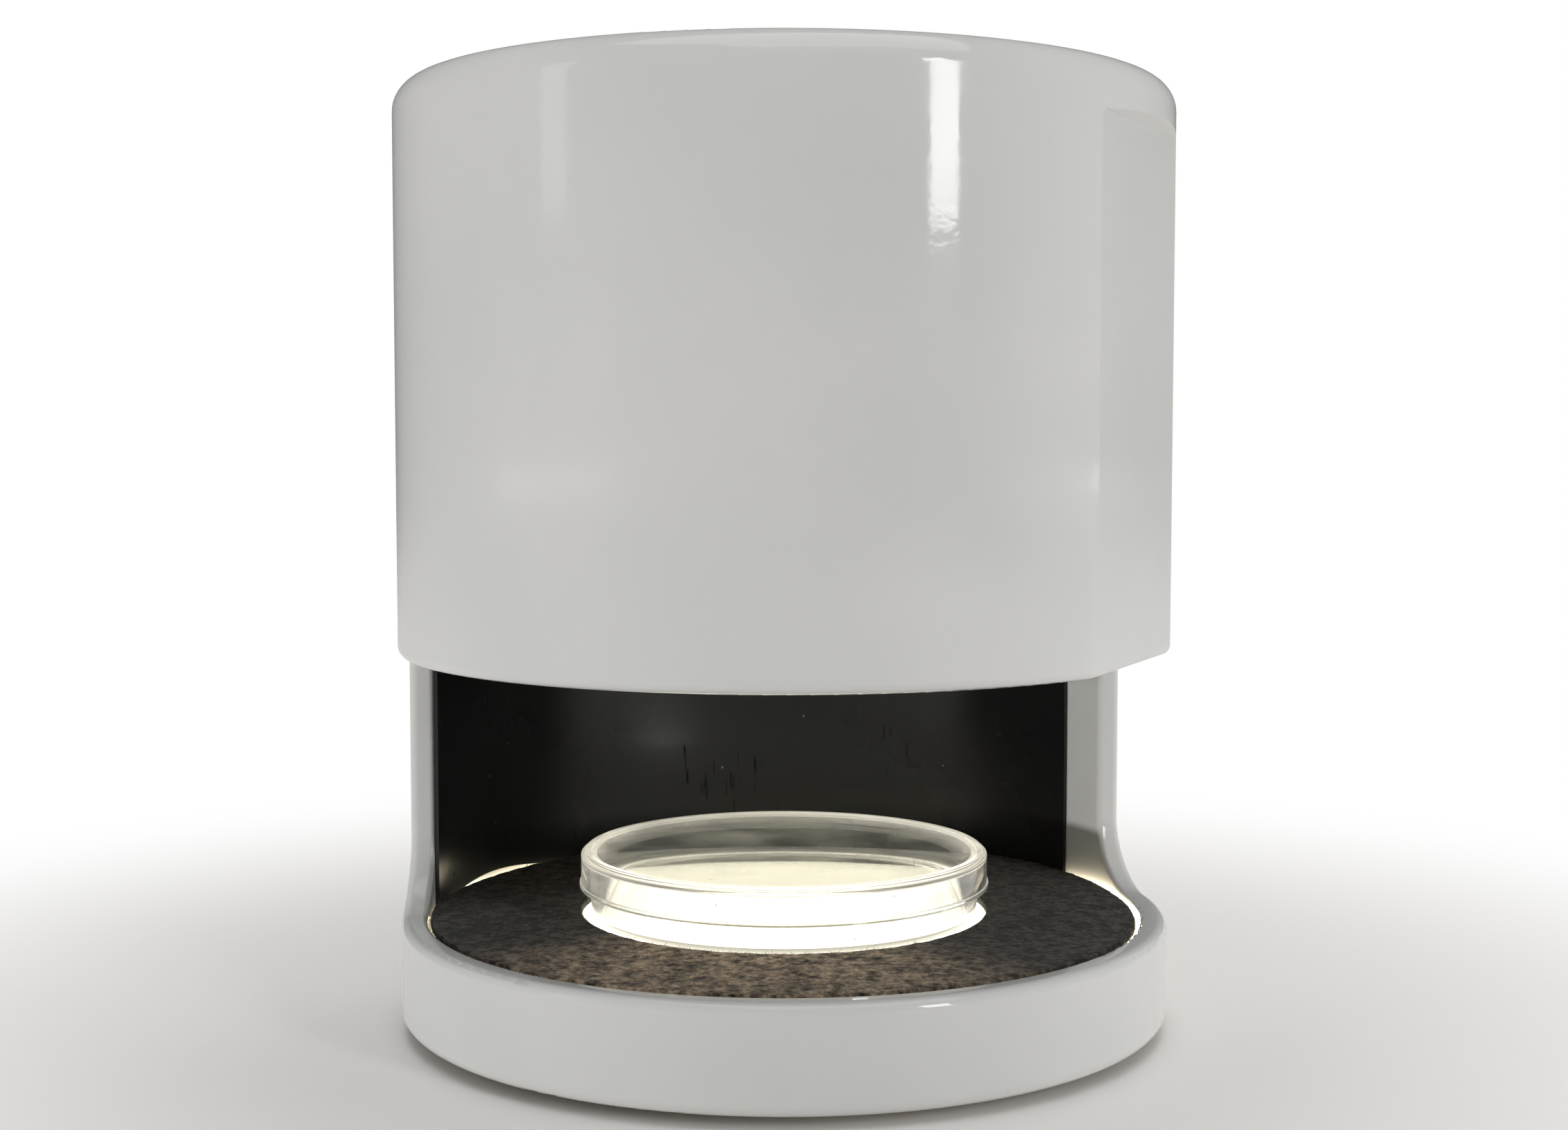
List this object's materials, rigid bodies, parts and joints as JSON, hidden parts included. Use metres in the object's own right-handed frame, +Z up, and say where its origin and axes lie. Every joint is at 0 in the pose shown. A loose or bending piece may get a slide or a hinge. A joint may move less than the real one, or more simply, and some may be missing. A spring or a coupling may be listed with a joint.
{
  "type": "colony counter",
  "caption": "Bench colony counter: a closed white imaging drum with a wraparound window over a backlit felt stage, holding a lidded petri dish under an inner camera.",
  "frame": {"origin": "on the drum's axis at the level of the bench, under the feet", "axes": "+Z up along the drum's axis; the middle of the window faces -Y; +X is to the right seen from the front"},
  "size_m": [0.176, 0.176, 0.2132],
  "materials": {
    "housing_white": "gloss white moulded housing",
    "base_beige": "matt beige board",
    "foot_rubber": "matt",
    "screw_steel": "satin",
    "screw_black": "black oxide",
    "post_brass": "satin",
    "post_aluminium": "satin",
    "led_board_white": "white solder mask",
    "led_white": "lamp",
    "stage_black": "matt black",
    "stage_opal": "white acrylic",
    "diffuser_opal": "opal acrylic, lit from below",
    "ring_opal": "opal",
    "felt_black": "flocked",
    "lining_gloss_black": "gloss black sheet",
    "board_green": "solder mask",
    "chip_black": "moulded",
    "lens_black": "black anodised",
    "focus_black": "black anodised, fluted",
    "lens_glass": "coated",
    "socket_black": "moulded",
    "socket_steel": "satin",
    "socket_ivory": "moulded",
    "panel_grey": "matt",
    "ribbon_white": "flat cable",
    "button_black": "satin",
    "dish_clear": "clear polystyrene",
    "lid_clear": "clear polystyrene"
  },
  "bodies": {
    "housing": {"housing_shell": "housing_white", "base_plate": "base_beige", "rubber_feet": "foot_rubber", "base_screws": "screw_steel", "pillar_screws": "screw_steel", "backlight_standoffs": "post_brass", "backlight_board": "led_board_white", "backlight_leds": "led_white", "stage_pillars": "post_aluminium", "stage_plate": "stage_opal", "stage_screws": "screw_steel", "light_diffuser": "diffuser_opal", "stage_felt": "felt_black", "lining_sheet": "lining_gloss_black", "baffle_plate": "stage_black", "baffle_screws": "screw_black", "ring_spacers": "post_brass", "ring_light_board": "led_board_white", "ring_leds": "led_white", "ring_diffuser": "ring_opal", "camera_posts": "post_brass", "camera_board": "board_green", "camera_screws": "screw_steel", "image_sensor": "chip_black", "lens_mount": "lens_black", "lens_barrel": "lens_black", "front_lens": "lens_glass", "controller_standoffs": "post_brass", "controller_board": "board_green", "controller_chips": "chip_black", "power_jack": "socket_black", "usb_socket": "socket_steel", "button_switch": "socket_black", "rear_panel": "panel_grey", "ribbon_cable": "ribbon_white", "ribbon_sockets": "socket_ivory"},
    "power_button": {"power_button": "button_black"},
    "focus_ring": {"focus_ring": "focus_black"},
    "petri_dish": {"dish_base": "dish_clear"},
    "petri_lid": {"dish_lid": "lid_clear"}
  },
  "joints": [
    {"name": "dish_lift", "type": "slide", "parent": "housing", "child": "petri_dish", "axis": [0, 0, 1], "range_m": [0, 0.035]},
    {"name": "lid_lift", "type": "slide", "parent": "petri_dish", "child": "petri_lid", "axis": [0, 0, 1], "range_m": [0, 0.025]},
    {"name": "button_press", "type": "slide", "parent": "housing", "child": "power_button", "axis": [0, -1, 0], "range_m": [0, 0.0015], "stiffness_N_per_m": 900},
    {"name": "focus_turn", "type": "hinge", "parent": "housing", "child": "focus_ring", "pos_m": [0, 0, 0.1105], "axis": [0, 0, 1], "range_deg": [-150, 150]}
  ]
}
